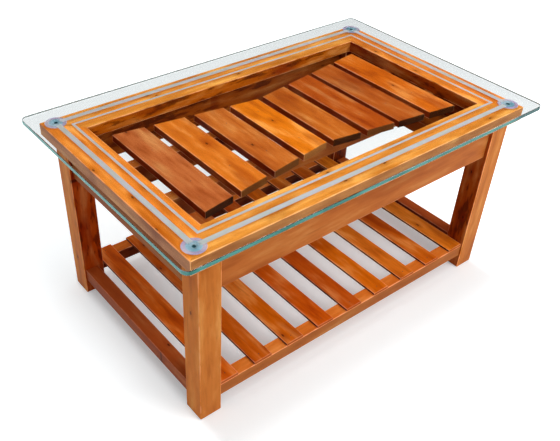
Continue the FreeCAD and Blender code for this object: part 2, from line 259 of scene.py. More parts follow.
def floor_material():
    """White paper whose glow rises steeply at the edge of the shade, and slowly past it."""
    material, tree, shader, output = start_material("white_floor")
    tree.nodes.remove(shader)
    # The glow is lower near the table, which paints a shadow round it.
    distance = distance_outside(tree)
    steep = ramp(tree, distance, 0.0, edge_of_shade)
    slow = ramp(tree, distance, 0.0, end_of_shade)
    to_legs = lift_at_legs - lift_under_table
    to_far = lift_far - lift_at_legs
    lift = calculate(tree, "MULTIPLY_ADD", steep, to_legs, lift_under_table)
    lift = calculate(tree, "MULTIPLY_ADD", slow, to_far, lift)
    through_glass = add_node(tree, "ShaderNodeLightPath").outputs["Is Transmission Ray"]
    seen = blend_numbers(tree, through_glass, lift, lift_through_glass)
    straight, in_gloss = kinds_of_look(tree)
    strength = calculate(tree, "MULTIPLY", calculate(tree, "ADD", straight, in_gloss), seen)
    paper = add_node(tree, "ShaderNodeBsdfDiffuse", {"Color": floor_white})
    glow = add_node(tree, "ShaderNodeEmission", {"Color": floor_glow, "Strength": strength})
    both = add_node(tree, "ShaderNodeAddShader")
    tree.links.new(paper.outputs[0], both.inputs[0])
    tree.links.new(glow.outputs[0], both.inputs[1])
    tree.links.new(both.outputs[0], output.inputs["Surface"])
    return material


bpy.ops.mesh.primitive_plane_add(size=2 * floor_half_width, location=(0, 0, 0))
floor = bpy.context.object
floor.name = "floor"
floor.data.materials.append(floor_material())
print("floor,", 2 * floor_half_width, "m wide")

# %% [markdown]
# ## The light
# A studio's light comes from large soft boxes and from pale walls. Here a round box in front
# gives the shading, a wide one overhead fills it in, and an even white sky stands for the
# walls. A look straight at the sky sees plain white. A gloss sees that white only low down and
# black from 15 degrees up, like a dark ceiling, since a sheet of glass under a white ceiling
# would lay a pale veil on everything below it.

# %% Light the room
sky_strength = 0.30
ceiling_start = math.sin(math.radians(6))
ceiling_end = math.sin(math.radians(15))
key_place = Vector((0.9, -2.4, 2.5))
key_size = 1.8
key_power = 48.0
overhead_place = Vector((0.3, -0.1, 3.0))
overhead_size = 3.0
overhead_power = 36.0


def light_the_sky():
    """Even light on the table, plain white in a straight look, and in a gloss a dark ceiling."""
    world = bpy.data.worlds.new("studio")
    bpy.context.scene.world = world
    world.use_nodes = True
    tree = world.node_tree
    background = tree.nodes["Background"]
    background.inputs["Color"].default_value = (1.0, 1.0, 1.0, 1.0)
    direction = add_node(tree, "ShaderNodeTexCoord").outputs["Generated"]
    height = add_node(tree, "ShaderNodeSeparateXYZ", {0: direction}).outputs["Z"]
    below_ceiling = ramp(tree, height, ceiling_end, ceiling_start)
    straight, in_gloss = kinds_of_look(tree)
    lit_or_gloss = blend_numbers(tree, in_gloss, sky_strength, below_ceiling)
    strength = blend_numbers(tree, straight, lit_or_gloss, 1.0)
    tree.links.new(strength, background.inputs["Strength"])


def add_softbox(name, place, size, power):
    """Round lamp that faces the middle of the table."""
    data = bpy.data.lights.new(name, "AREA")
    data.shape = "DISK"
    data.size = size
    data.energy = power
    lamp = bpy.data.objects.new(name, data)
    bpy.context.scene.collection.objects.link(lamp)
    middle_of_table = (ready_made_box[0] + ready_made_box[1]) / 2
    lamp.location = place
    lamp.rotation_euler = (middle_of_table - place).to_track_quat("-Z", "Y").to_euler()


light_the_sky()
add_softbox("key_softbox", key_place, key_size, key_power)
add_softbox("overhead_softbox", overhead_place, overhead_size, overhead_power)
print("soft boxes of", key_power, "and", overhead_power, "watts")

# %% [markdown]
# ## Varnished timber
# Each board of the real table was sawn from a different place in the tree, so no two look
# alike. A picture of wood wrapped round every board would repeat, and would show the same lines
# on a face and on an end. Here the timber is solid instead: growth rings lie round a pith line
# beside the board, and the board's surface cuts through them, which gives long flames on a wide
# face, straight lines on a narrow one and arcs on an end. Noise drawn out along the grain adds
# streaks, pores, clouds, larger patches and fine flecks. The positions come in metres, in the
# board's own direction, so that X always follows the grain.

# %% Growth rings, streaks and clouds
# Each noise is given by its changes per metre along and across the grain, and by its detail.
sway_noise = (2.2, 11.0, 2.0)
timber_noises = {
    "Streaks": (5.0, 150.0, 3.0),
    "Pores": (55.0, 900.0, 2.0),
    "Clouds": (9.0, 42.0, 4.0),
    "Patches": (5.0, 17.0, 3.0),
    "Flecks": (30.0, 140.0, 3.0),
}
sway_reach = (0.0, 0.045, 0.045)
darkest_from = 0.7
darkest_until = 0.8


def make_figure_group():
    group, given, result = start_group(
        "timber_figure",
        {"Position": "Vector", "Ring spacing": "Float"},
        {"Rings": "Float", **dict.fromkeys(timber_noises, "Float")},
    )

    def stretched_noise(along, across, detail):
        scaled = calculate_vector(group, "MULTIPLY", given["Position"], (along, across, across))
        inputs = {"Vector": scaled, "Scale": 1.0, "Detail": detail}
        return add_node(group, "ShaderNodeTexNoise", inputs).outputs

    sway = stretched_noise(*sway_noise)["Color"]
    centred = calculate_vector(group, "SUBTRACT", sway, (0.5, 0.5, 0.5))
    shift = calculate_vector(group, "MULTIPLY", centred, sway_reach)
    swayed = calculate_vector(group, "ADD", given["Position"], shift)
    axes = add_node(group, "ShaderNodeSeparateXYZ", {0: swayed}).outputs
    across_squared = calculate(group, "MULTIPLY", axes["Y"], axes["Y"])
    through_squared = calculate(group, "MULTIPLY", axes["Z"], axes["Z"])
    from_pith = calculate(group, "SQRT", calculate(group, "ADD", across_squared, through_squared))
    years = calculate(group, "DIVIDE", from_pith, given["Ring spacing"])
    part_of_year = calculate(group, "FRACT", years)
    slow_rise = ramp(group, part_of_year, 0.0, darkest_from)
    soft_fall = ramp(group, part_of_year, 1.0, darkest_until)
    connect(group, calculate(group, "MULTIPLY", slow_rise, soft_fall), result["Rings"])
    for name, noise in timber_noises.items():
        connect(group, stretched_noise(*noise)["Fac"], result[name])
    return group


timber_figure = make_figure_group()
print("timber figure, with", ", ".join(socket.lower() for socket in timber_noises))

# %% [markdown]
# A knot is where a branch started. Cells of a Voronoi pattern, drawn out along the grain, give
# each region of the timber one possible knot, and only the cells whose random number is low
# enough keep theirs. The cells have no depth, so that a knot goes right through a board that
# lies flat. One mask marks the knot's dark heart, and a wider one the brown halo round it.

# %% Knots
knot_cells_per_metre = (9.0, 20.0, 20.0)
heart_from_rim_in = (0.055, 0.025)
halo_from_rim_in = (0.24, 0.04)


def make_knot_group():
    group, given, result = start_group(
        "timber_knots",
        {"Position": "Vector", "Share": "Float"},
        {"Heart": "Float", "Halo": "Float"},
    )
    scaled = calculate_vector(group, "MULTIPLY", given["Position"], knot_cells_per_metre)
    inputs = {"Vector": scaled, "Scale": 1.0}
    cells = add_node(group, "ShaderNodeTexVoronoi", inputs, voronoi_dimensions="2D").outputs
    chance = add_node(group, "ShaderNodeSeparateColor", {0: cells["Color"]}).outputs[0]
    kept = calculate(group, "LESS_THAN", chance, given["Share"])
    heart = ramp(group, cells["Distance"], *heart_from_rim_in)
    halo = ramp(group, cells["Distance"], *halo_from_rim_in)
    connect(group, calculate(group, "MULTIPLY", heart, kept), result["Heart"])
    connect(group, calculate(group, "MULTIPLY", halo, kept), result["Halo"])
    return group


timber_knots = make_knot_group()
print("knots in cells of", [round(1 / count, 3) for count in knot_cells_per_metre[:2]], "m")

# %% [markdown]
# A board doesn't take its stain evenly. The sawn ends drink it and stay dark and rough, and the
# flanks may have a shade of their own, which on the slats is painted shade in the gaps between
# them. Both could be painted by hand, but they also show in the direction of the surface: an end
# looks along the grain, and a flank looks sideways. The sharp edges are painted paler, as wear
# and as the highlight that a rounded edge catches. A point's distance from the nearest edge of
# a board is the middle one of its three distances from the board's sides, since the smallest is
# zero on the surface.

# %% Ends, flanks, and worn and highlit edges
end_slant = (0.5, 0.75)
flank_slant = (0.75, 0.95)
edge_changes_per_metre = 28.0
edge_change_range = (0.25, 0.7)
least_highlight_and_wear = 0.35


def make_face_group():
    group, given, result = start_group(
        "board_faces", {"Direction": "Vector"}, {"End": "Float", "Flank": "Float"}
    )
    size = calculate_vector(group, "ABSOLUTE", given["Direction"])
    axes = add_node(group, "ShaderNodeSeparateXYZ", {0: size}).outputs
    connect(group, ramp(group, axes["X"], *end_slant), result["End"])
    connect(group, ramp(group, axes["Y"], *flank_slant), result["Flank"])
    return group


# Pale band along a board's edges, for wear and for a painted highlight.
def make_highlit_wear_group():
    group, given, result = start_group(
        "highlit_worn_edges",
        {"Place": "Vector", "Low corner": "Vector", "High corner": "Vector", "Width": "Float"},
        {"Highlight_and_wear": "Float"},
    )
    from_low = calculate_vector(group, "SUBTRACT", given["Place"], given["Low corner"])
    from_high = calculate_vector(group, "SUBTRACT", given["High corner"], given["Place"])
    nearer = calculate_vector(group, "MINIMUM", from_low, from_high)
    axes = add_node(group, "ShaderNodeSeparateXYZ", {0: nearer}).outputs
    smaller = calculate(group, "MINIMUM", axes["X"], axes["Y"])
    larger = calculate(group, "MAXIMUM", axes["X"], axes["Y"])
    middle = calculate(group, "MAXIMUM", smaller, calculate(group, "MINIMUM", larger, axes["Z"]))
    inputs = {"Vector": given["Place"], "Scale": edge_changes_per_metre, "Detail": 3.0}
    edge_changes = add_node(group, "ShaderNodeTexNoise", inputs).outputs["Fac"]
    uneven = calculate(group, "MULTIPLY", ramp(group, edge_changes, *edge_change_range), given["Width"])
    reach = calculate(group, "MULTIPLY_ADD", given["Width"], least_highlight_and_wear, uneven)
    connect(group, ramp(group, middle, reach, 0.0), result["Highlight_and_wear"])
    return group


board_faces = make_face_group()
highlit_worn_edges = make_highlit_wear_group()
print("wear that changes", edge_changes_per_metre, "times a metre")

# %% [markdown]
# The last group puts these together as a painter would. The stain comes first, with its own
# shade on the flanks, which on the slats is painted shade, and with painted shade on the faces
# that look in at the middle of the table. Paler clouds, darker and redder clouds and patches,
# and a hint of the rings follow. Then the inner faces get fine dark flecks of painted shade,
# and every face its streaks, pores and knots. The sawn ends and the worn edges come last; the
# pale edges are wear and a painted highlight at once, and the ends get less of them than the
# rest. The pale, deep and dark tones are worked out from the stain itself, so each face needs
# only one colour. The group gives out a colour, a roughness and a height.

# %% Timber, stained and varnished
highlight_and_wear_width = 0.0024
inner_face_slant = (0.5, 0.8)
bolder_on_inner_faces = 0.7
varnish_roughness = 0.34
rougher_in_clouds = 0.18
rougher_at_ends = 0.35
pore_depth = 0.5
ring_depth = -0.5


def shifted_tone(tree, colour, hue, saturation, value):
    """The same colour with its hue moved, and its saturation and value multiplied."""
    settings = {"Color": colour, "Hue": 0.5 + hue, "Saturation": saturation, "Value": value}
    return add_node(tree, "ShaderNodeHueSaturation", settings).outputs[0]


def make_timber_group():
    vectors = ("Position", "Direction", "Facing", "Place", "Low corner", "High corner", "Inward")
    group, given, result = start_group(
        "varnished_timber",
        {
            **dict.fromkeys(vectors, "Vector"),
            **dict.fromkeys(("Stain", "Ends", "Flanks", "Inside"), "Color"),
            **dict.fromkeys(("Flank cover", "Ring spacing", "Knots", "Contrast"), "Float"),
        },
        {"Color": "Color", "Roughness": "Float", "Height": "Float"},
    )
    rings = {"Position": given["Position"], "Ring spacing": given["Ring spacing"]}
    figure = use_group(group, timber_figure, rings)
    knots = use_group(group, timber_knots, {"Position": given["Position"], "Share": given["Knots"]})
    faces = use_group(group, board_faces, {"Direction": given["Direction"]})
    corners = {name: given[name] for name in ("Place", "Low corner", "High corner")}
    highlight_and_wear = use_group(group, highlit_worn_edges, {**corners, "Width": highlight_and_wear_width})["Highlight_and_wear"]

    # Painted shade on the faces that look in at the middle of the table, where little light reaches.
    facing_in = calculate_vector(group, "DOT_PRODUCT", given["Facing"], given["Inward"])
    inside = ramp(group, facing_in, *inner_face_slant)
    sides = calculate(group, "MULTIPLY", faces["Flank"], given["Flank cover"])
    stain = blend_colours(group, sides, given["Stain"], given["Flanks"])
    stain = blend_colours(group, inside, stain, given["Inside"])
    pale = shifted_tone(group, stain, hue=0.018, saturation=0.93, value=1.32)
    deep = shifted_tone(group, stain, hue=-0.016, saturation=1.06, value=0.5)
    dark = shifted_tone(group, stain, hue=-0.01, saturation=1.0, value=0.1)
    # The pale edge tone is wear and a painted highlight at once.
    highlight_and_wear_tone = shifted_tone(group, given["Stain"], hue=0.01, saturation=0.8, value=1.9)

    boldness = calculate(group, "MULTIPLY_ADD", inside, bolder_on_inner_faces, 1.0)
    strength = calculate(group, "MULTIPLY", boldness, given["Contrast"])

    def cover(tone, mask, colour, share):
        """Colour laid over the tone where the mask is."""
        return blend_colours(group, calculate(group, "MULTIPLY", mask, share), tone, colour)

    def mark(tone, mask, colour, share):
        """The same, as strongly as the board's contrast says."""
        return cover(tone, calculate(group, "MULTIPLY", mask, share), colour, strength)

    both_noises = calculate(group, "ADD", figure["Clouds"], figure["Flecks"])
    mottle = calculate(group, "MULTIPLY", both_noises, 0.5)
    # Fine dark flecks of painted shade on the inner faces.
    shaded_flecks = calculate(group, "MULTIPLY", inside, ramp(group, mottle, start=0.475, end=0.405))
    tone = mark(stain, ramp(group, figure["Clouds"], start=0.48, end=0.74), pale, share=0.9)
    tone = mark(tone, ramp(group, figure["Clouds"], start=0.50, end=0.26), deep, share=0.6)
    tone = mark(tone, ramp(group, figure["Patches"], start=0.52, end=0.72), deep, share=0.6)
    tone = mark(tone, figure["Rings"], deep, share=0.1)
    tone = cover(tone, shaded_flecks, dark, share=0.6)
    tone = mark(tone, ramp(group, figure["Streaks"], start=0.60, end=0.80), deep, share=0.45)
    tone = mark(tone, ramp(group, figure["Pores"], start=0.62, end=0.74), dark, share=0.3)
    tone = mark(tone, knots["Halo"], deep, share=0.5)
    tone = cover(tone, knots["Heart"], dark, share=0.85)
    tone = cover(tone, faces["End"], given["Ends"], share=0.92)
    less_at_ends = calculate(group, "MULTIPLY_ADD", faces["End"], -0.45, 0.6)
    tone = cover(tone, highlight_and_wear, highlight_and_wear_tone, share=less_at_ends)
    connect(group, tone, result["Color"])

    rough = calculate(group, "MULTIPLY_ADD", figure["Clouds"], rougher_in_clouds, varnish_roughness)
    rough = calculate(group, "MULTIPLY_ADD", faces["End"], rougher_at_ends, rough)
    connect(group, rough, result["Roughness"])
    height = calculate(group, "MULTIPLY_ADD", figure["Pores"], pore_depth, figure["Streaks"])
    height = calculate(group, "MULTIPLY_ADD", figure["Rings"], ring_depth, height)
    connect(group, height, result["Height"])
    return group


varnished_timber = make_timber_group()
print("varnished timber, from", len(varnished_timber.nodes), "nodes")

# %% [markdown]
# Every board gets a material of its own from one function. The board's direction turns the
# positions so that X follows its grain, and its name seeds the place in the tree that it is
# sawn from, so the same board looks the same each time. A board that looks in at the middle of
# the table says which way that is, and gets a painted shade for the faces that look there.

# %% Make a board's material
grain_turns = {
    "X": (0.0, 0.0, 0.0),
    "Y": (0.0, 0.0, -math.radians(90)),
    "Z": (0.0, math.radians(90), 0.0),
}
pith_tilt = math.radians(1.6)
ring_spacing = 0.009
knotty_share = 0.3
flank_cover = 0.92
nowhere = (0, 0, 0)


def timber_material(
    name, grain, stain, ends, flanks=None, inside=None, inward=nowhere, contrast=1.0
):
    material, tree, shader, _ = start_material("timber_" + name)
    saw = random.Random(name)
    place_in_tree = (saw.uniform(-4, 4), saw.uniform(0.03, 0.11), saw.uniform(-0.09, -0.03))
    tilts = (0.0, saw.uniform(-pith_tilt, pith_tilt), saw.uniform(-pith_tilt, pith_tilt))
    low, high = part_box(name)
    coordinates = add_node(tree, "ShaderNodeTexCoord").outputs

    def turned(vector, rotation, **more):
        inputs = {"Vector": vector, "Rotation": rotation, **more}
        return add_node(tree, "ShaderNodeMapping", inputs).outputs[0]

    along_grain = turned(coordinates["Object"], grain_turns[grain])
    look = use_group(tree, varnished_timber, {
        "Position": turned(along_grain, tilts, Location=place_in_tree),
        "Direction": turned(coordinates["Normal"], grain_turns[grain]),
        "Facing": coordinates["Normal"],
        "Place": coordinates["Object"],
        "Low corner": tuple(low),
        "High corner": tuple(high),
        "Inward": inward,
        "Inside": hex_colour(inside or stain),
        "Stain": hex_colour(stain),
        "Ends": hex_colour(ends),
        "Flanks": hex_colour(flanks or stain),
        "Flank cover": flank_cover if flanks else 0.0,
        "Ring spacing": ring_spacing,
        "Knots": knotty_share,
        "Contrast": contrast,
    })
    bump_inputs = {"Height": look["Height"], "Strength": 0.2, "Distance": 0.0005}
    bump = add_node(tree, "ShaderNodeBump", bump_inputs)
    connect(tree, look["Color"], shader.inputs["Base Color"])
    connect(tree, look["Roughness"], shader.inputs["Roughness"])
    connect(tree, bump.outputs[0], shader.inputs["Normal"])
    shader.inputs["Specular IOR Level"].default_value = 0.05
    return material


def finish_piece(name, material):
    """Give a ready-made piece its material."""
    mesh = nodes[name].data
    mesh.materials.clear()
    mesh.materials.append(material)


def finish_board(name, grain, stain, ends, **look):
    """Give a ready-made board its own timber."""
    finish_piece(name, timber_material(name, grain, stain, ends, **look))


# %% [markdown]
# ## Stains
# The maker's boards range from a bright orange to a dull reddish brown. The slats of the panel
# and of the shelf are listed from left to right, each with its stain. Four of the panel's slats
# have sawn ends that are nearly black, one has tan ends, and the other three have brown ones.
# The flanks of all these slats look at each other across a gap, and a painted shade makes them darker
# than the faces.

# %% Finish the panel and the shelf
sawn_black = "1c120c"
sawn_brown = "6c421e"
sawn_tan = "9c6634"
# Painted shade on the panel slats' flanks, in the gaps between them.
panel_slat_flank_shade = "8e3408"
slat_looks = (
    ("c56c35", sawn_black),
    ("e27a1e", sawn_brown),
    ("cc6e26", sawn_brown),
    ("eb7e08", sawn_tan),
    ("c9691c", sawn_black),
    ("ba530c", sawn_brown),
    ("bb5b19", sawn_black),
    ("da6b0c", sawn_black),
)
shelf_stains = (
    "e96b12", "d15e08", "da6706", "d75c08", "cc560c", "e87208", "e97a1c", "df6a0c", "f58820",
)
shelf_slat_end = "b6581e"
# The shelf slats' flanks get painted shade, as dark as a sawn end.
shelf_slat_flank_shade = sawn_black
for number, (stain, ends) in enumerate(slat_looks, 1):
    finish_board(f"top_slat_{number}", "Y", stain, ends, flanks=panel_slat_flank_shade, contrast=1.1)
for number, stain in enumerate(shelf_stains, 1):
    finish_board(f"shelf_slat_{number}", "Y", stain, shelf_slat_end, flanks=shelf_slat_flank_shade)
print(len(slat_looks), "panel slats and", len(shelf_stains), "shelf slats")

# %% [markdown]
# The boards round the slats follow their own direction: the front and back ones have their
# grain along X, the left and right ones along Y, and the legs along Z. The four boards of the
# top are about as lively as the slats, and the aprons, rails, bearers, end rests and legs have
# less contrast. The back is finished as the front is, since the photograph shows little of it.
# A leg's front and back faces count as flanks and are a little duller, and its two inner faces
# get a deeper painted shade, which is set leg by leg.

# %% Finish the frame
lively = 1.0
quiet = 0.65
leg_contrast = 0.75
sawn_end = "8a4a20"
mitre_end = "c07030"
# A row has a part, its stain, those of its ends and flanks, the painted shade of its inner face, and
# its contrast.
across_looks = (
    ("top_rail", "ea9638", mitre_end, "cc8850", "c86406", lively),
    ("apron", "cc7231", sawn_end, None, "a04c0a", quiet),
    ("shelf_rail", "e87a28", sawn_end, "b86a30", "7c3006", quiet),
    ("slat_bearer", "b06024", sawn_end, None, "9a4408", quiet),
)
along_looks = (
    ("top_rail", "f6902f", mitre_end, "eea67a", "b65006", lively),
    ("apron", "b05c24", sawn_end, None, "a04c0a", quiet),
    ("shelf_rail", "ba5622", sawn_end, "b75829", "7c3006", quiet),
)
end_rest_stains = {"left": "b47c34", "right": "9a4c10"}
leg_stain = "f48a2e"
leg_flank = "da7f34"
# Painted shade on the two inner faces of each leg.
leg_inner_shades = {
    ("front", "left"): "8a3404",
    ("front", "right"): "ac4a0b",
    ("back", "left"): "cf5206",
    ("back", "right"): "8a3404",
}


def finish_side(looks, side, grain, inward):
    """Finish the parts of one side of the table, whose inner faces look the same way."""
    for part, stain, ends, flanks, inside, contrast in looks:
        more = {"flanks": flanks, "inside": inside, "inward": inward, "contrast": contrast}
        finish_board(f"{part}_{side}", grain, stain, ends, **more)


def finish_leg(end, side, inward):
    inside = leg_inner_shades[end, side]
    more = {"flanks": leg_flank, "inside": inside, "inward": inward, "contrast": leg_contrast}
    finish_board(f"leg_{end}_{side}", "Z", leg_stain, sawn_end, **more)


finish_side(across_looks, "front", "X", (0, 1, 0))
finish_side(across_looks, "back", "X", (0, -1, 0))
for side, toward_middle in (("left", 1), ("right", -1)):
    finish_side(along_looks, side, "Y", (toward_middle, 0, 0))
    finish_board(f"end_rest_{side}", "Y", end_rest_stains[side], sawn_end, contrast=quiet)
    finish_leg("front", side, (toward_middle, 1, 0))
    finish_leg("back", side, (toward_middle, -1, 0))
print(len(leg_inner_shades), "legs and", 2 * len(across_looks + along_looks), "boards of the four sides")

# %% [markdown]
# The joinery inside the table is plain pale wood that no varnish reaches. The brads and screws
# are dull steel: the heads are small, dark and a little rusty, so their colour and gloss change
# from spot to spot.

# %% Finish the joinery, the brads and the screws
joinery_wood = "d0ac78"
joinery_end = "b08c5c"
rusty_brown = (0.05, 0.03, 0.02, 1.0)
dull_grey = (0.16, 0.12, 0.10, 1.0)
rust_spots_per_metre = 900.0


def steel_material():
    material, tree, shader, _ = start_material("dull_steel")
    place = add_node(tree, "ShaderNodeTexCoord").outputs["Object"]
    inputs = {"Vector": place, "Scale": rust_spots_per_metre, "Detail": 2.0}
    spots = add_node(tree, "ShaderNodeTexNoise", inputs).outputs["Fac"]
    connect(tree, blend_colours(tree, spots, rusty_brown, dull_grey), shader.inputs["Base Color"])
    connect(tree, ramp(tree, spots, start=-0.6, end=1.4), shader.inputs["Roughness"])
    shader.inputs["Metallic"].default_value = 0.7
    return material


for name in ("mitre_tongues", "leg_loose_tenons", "rest_loose_tenons"):
    finish_board(name, "X", joinery_wood, joinery_end)
dull_steel = steel_material()
for name in ("top_slat_brads", "shelf_slat_brads", "bearer_screws"):
    finish_piece(name, dull_steel)
timbers = [material for material in bpy.data.materials if material.name.startswith("timber_")]
print(len(timbers), "timbers, one for each wooden piece")

# %% [markdown]
# ## The glass sheet
# The top is a loose sheet of float glass, with two etched lines that run round under it. It
# could be drawn as a flat outline with round corners and given its thickness, but a cube of its
# size gets there sooner, since only its edges need work. This first cell has what the modelling
# needs: a cube with its place and size in its mesh, and a way to select faces or edges by a
# test, which stands for picking them by hand.

# %% Helpers for modelling
def start_cube(name, low, high):
    """Cube from one corner to the other, with its place and size in its mesh."""
    bpy.ops.object.select_all(action="DESELECT")
    bpy.ops.mesh.primitive_cube_add(size=1.0, location=(low + high) / 2, scale=high - low)
    bpy.ops.object.transform_apply(location=True, rotation=True, scale=True)
    piece = bpy.context.object
    piece.name = name
    return piece


def select_parts(piece, mode, wanted):
    """Go to edit mode, with only the faces or edges selected for which the test is true."""
    bpy.ops.object.mode_set(mode="EDIT")
    bpy.ops.mesh.select_mode(type=mode)
    bpy.ops.mesh.select_all(action="DESELECT")
    bpy.ops.object.mode_set(mode="OBJECT")
    parts = piece.data.polygons if mode == "FACE" else piece.data.edges
    for part in parts:
        if wanted(part):
            part.select = True
    bpy.ops.object.mode_set(mode="EDIT")


def climb(piece, edge):
    """How much higher one end of an edge is than the other."""
    first, second = (piece.data.vertices[index].co.z for index in edge.vertices)
    return abs(first - second)


# %% [markdown]
# The sheet's four upright edges are bevelled round and its rims are eased. Each etched line is
# a band on the underside, so straight cuts outline the bands: four for each of their two sides,
# one along every side of the sheet. The faces between the cuts are told apart by how far in
# they lie, and the ground edge by its upright faces, so that the clear glass, the edge and the
# lines can have a material each.

# %% Model the sheet
corner_radius = 0.015
rim_ease = 0.0014
wood_edge_to_outer_line = 0.0256
wood_edge_to_inner_line = 0.052
outer_line_width = 0.0118
inner_line_width = 0.0058
looks_down = -0.99
stands_upright = 0.2
edge_slot = 1
line_slot = 2


def line_limits(low):
    """How far in from the glass's edge each etched line starts and ends."""
    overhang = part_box("top_rail_left")[0].x - low.x
    outer = overhang + wood_edge_to_outer_line
    inner = overhang + wood_edge_to_inner_line
    return [
        (outer - outer_line_width / 2, outer + outer_line_width / 2),
        (inner - inner_line_width / 2, inner + inner_line_width / 2),
    ]


def cut_all_round(sheet, low, high, inset):
    """Cut the underside along four lines that lie the same distance in from its sides."""
    for point, normal in (
        ((low.x + inset, 0, 0), (1, 0, 0)),
        ((high.x - inset, 0, 0), (1, 0, 0)),
        ((0, low.y + inset, 0), (0, 1, 0)),
        ((0, high.y - inset, 0), (0, 1, 0)),
    ):
        select_parts(sheet, "FACE", lambda face: face.normal.z < looks_down)
        bpy.ops.mesh.bisect(plane_co=point, plane_no=normal)
        bpy.ops.object.mode_set(mode="OBJECT")


def add_glass_sheet():
    low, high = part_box("glass_top")
    sheet = start_cube("glass_sheet", low, high)
    select_parts(sheet, "EDGE", lambda edge: climb(sheet, edge) > rim_ease)
    bpy.ops.mesh.bevel(offset=corner_radius, segments=10, affect="EDGES")
    bpy.ops.object.mode_set(mode="OBJECT")
    select_parts(sheet, "EDGE", lambda edge: climb(sheet, edge) < rim_ease)
    bpy.ops.mesh.bevel(offset=rim_ease, segments=3, affect="EDGES")
    bpy.ops.object.mode_set(mode="OBJECT")
    limits = line_limits(low)
    for start, end in limits:
        cut_all_round(sheet, low, high, start)
        cut_all_round(sheet, low, high, end)
    for face in sheet.data.polygons:
        if abs(face.normal.z) < stands_upright:
            face.material_index = edge_slot
        elif face.normal.z < looks_down:
            middle = face.center
            inset = min(middle.x - low.x, high.x - middle.x, middle.y - low.y, high.y - middle.y)
            if any(start < inset < end for start, end in limits):
                face.material_index = line_slot
    return sheet


glass_sheet = add_glass_sheet()
print("glass sheet,", len(glass_sheet.data.polygons), "faces")

# %% [markdown]
# Clear glass lets light through to the timber, but a renderer that follows light only from the
# eye finds no lamp through a bending surface and leaves a shadow there. So shadow rays pass
# straight through a faint tint instead, and all other rays meet real glass.

# %% Clear glass
glass_tint = (0.945, 0.96, 0.955, 1.0)
glass_shadow = (0.998, 1.0, 0.999, 1.0)


def let_shadows_pass(tree, shader, output, tint):
    """Show the shader to every ray but a shadow ray, which goes on through the tint."""
    window = add_node(tree, "ShaderNodeBsdfTransparent", {"Color": tint})
    path = add_node(tree, "ShaderNodeLightPath").outputs
    either = add_node(tree, "ShaderNodeMixShader", {0: path["Is Shadow Ray"]})
    tree.links.new(shader.outputs[0], either.inputs[1])
    tree.links.new(window.outputs[0], either.inputs[2])
    tree.links.new(either.outputs[0], output.inputs["Surface"])


def clear_glass_material():
    material, tree, shader, output = start_material("clear_glass")
    shader.inputs["Base Color"].default_value = glass_tint
    shader.inputs["Roughness"].default_value = 0.0
    shader.inputs["IOR"].default_value = 1.5
    shader.inputs["Transmission Weight"].default_value = 1.0
    shader.inputs["Specular IOR Level"].default_value = 0.12
    let_shadows_pass(tree, shader, output, glass_shadow)
    return material


clear_glass = clear_glass_material()
print("clear glass, tinted", glass_tint[:3])

# %% [markdown]
# The ground edge looks green, because light runs a long way inside the sheet before it comes
# out there. Following that light would take very long, so the green is painted on and glows
# faintly. It drifts between a deep and a bright green, has a painted highlight that makes it
# paler on the left end of the sheet and painted shade that makes it darker toward the right
# one, and is greyer where it is seen from inside the sheet.

# %% The ground edge
edge_deep = (0.008, 0.18, 0.14, 1.0)
edge_bright = (0.05, 0.33, 0.28, 1.0)
edge_pale = (0.11, 0.44, 0.39, 1.0)
edge_dark = (0.005, 0.105, 0.105, 1.0)
edge_from_inside = (0.20, 0.30, 0.29, 1.0)
edge_shadow = (0.7, 0.9, 0.87, 1.0)
drifts_per_metre = 14.0
pale_starts_from_left = 0.011
pale_full_from_left = 0.001
dark_starts_from_right = 0.127
dark_full_from_right = 0.077


def ground_edge_material():
    """Deep green outside, with a faint glow, and a greyer green seen through the sheet."""
    material, tree, shader, output = start_material("glass_edge")
    left, right = (corner.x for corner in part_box("glass_top"))
    place = add_node(tree, "ShaderNodeTexCoord").outputs["Object"]
    inputs = {"Vector": place, "Scale": drifts_per_metre, "Detail": 2.0}
    drift = add_node(tree, "ShaderNodeTexNoise", inputs).outputs["Fac"]
    along = add_node(tree, "ShaderNodeSeparateXYZ", {"Vector": place}).outputs["X"]
    at_left = ramp(tree, along, left + pale_starts_from_left, left + pale_full_from_left)
    at_right = ramp(tree, along, right - dark_starts_from_right, right - dark_full_from_right)
    from_inside = add_node(tree, "ShaderNodeNewGeometry").outputs["Backfacing"]
    tint = blend_colours(tree, ramp(tree, drift, start=0.35, end=0.65), edge_deep, edge_bright)
    # Painted highlight on the left end, and painted shade toward the right end.
    tint = blend_colours(tree, at_left, tint, edge_pale)
    tint = blend_colours(tree, at_right, tint, edge_dark)
    tint = blend_colours(tree, from_inside, tint, edge_from_inside)
    connect(tree, tint, shader.inputs["Base Color"])
    connect(tree, tint, shader.inputs["Emission Color"])
    shader.inputs["Emission Strength"].default_value = 0.12
    shader.inputs["Roughness"].default_value = 0.35
    shader.inputs["IOR"].default_value = 1.5
    shader.inputs["Transmission Weight"].default_value = 0.3
    shader.inputs["Specular IOR Level"].default_value = 0.25
    let_shadows_pass(tree, shader, output, edge_shadow)
    return material


ground_edge = ground_edge_material()
print("ground edge, between", edge_deep[:3], "and", edge_bright[:3])

# %% [markdown]
# Etching leaves the glass matt and grey. As a groove it would be too shallow to see, so it is a
# frost on the faces between the cuts, cloudy and gritty, and its alpha says how much of it
# shows. The lines cross the pads, where the photograph hardly shows them, and so the frost
# fades out over each pad. All four pads lie equally far from the table's middle, so a place
# with its signs dropped is compared with one pad for all four.

# %% The etched lines
etched_greenish = (0.43, 0.47, 0.44, 1.0)
etched_bluish = (0.47, 0.48, 0.53, 1.0)
etched_grit = (0.68, 0.71, 0.72, 1.0)
etched_shadow = (0.93, 0.93, 0.93, 1.0)
grit_share = 0.4
bare_within = 0.008
frosted_from = 0.018


def middle_of(node):
    """Middle of a ready-made piece's box."""
    low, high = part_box(node)
    return (low + high) / 2


